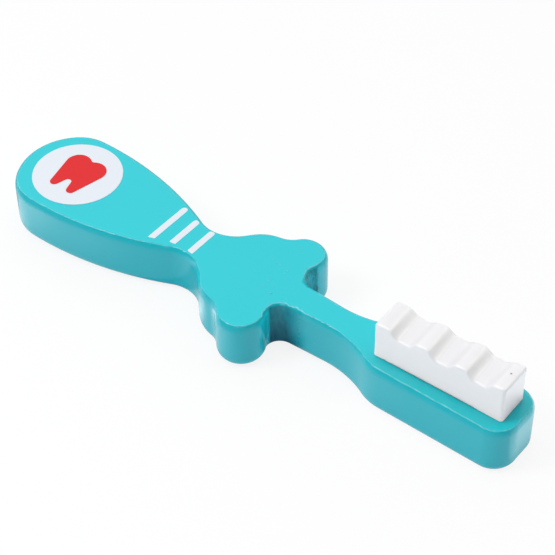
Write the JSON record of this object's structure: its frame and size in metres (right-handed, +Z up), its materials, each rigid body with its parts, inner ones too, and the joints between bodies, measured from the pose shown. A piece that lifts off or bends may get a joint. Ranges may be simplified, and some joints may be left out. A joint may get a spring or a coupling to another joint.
{
  "type": "toy toothbrush",
  "caption": "Wooden toy toothbrush: a painted board with finger lobes and a printed grip, carrying a scalloped white block as its bristles.",
  "frame": {"origin": "on the underside of the board, in the middle of its length and width", "axes": "+X from the grip to the head, +Z up through the board towards the bristles, +Y across the board"},
  "size_m": [0.164, 0.0398, 0.0265],
  "materials": {
    "teal_paint": "satin water-based paint, rounded rims",
    "white_paint": "satin white paint",
    "bare_wood": "bare beech",
    "white_ink": "matte printed ink",
    "red_ink": "matte printed ink"
  },
  "bodies": {
    "root": {"handle": "teal_paint", "bristle_block": "white_paint", "dowel_rear": "bare_wood", "dowel_front": "bare_wood", "badge_disc": "white_ink", "badge_tooth": "red_ink", "stripe_rear": "white_ink", "stripe_middle": "white_ink", "stripe_front": "white_ink"}
  },
  "joints": []
}
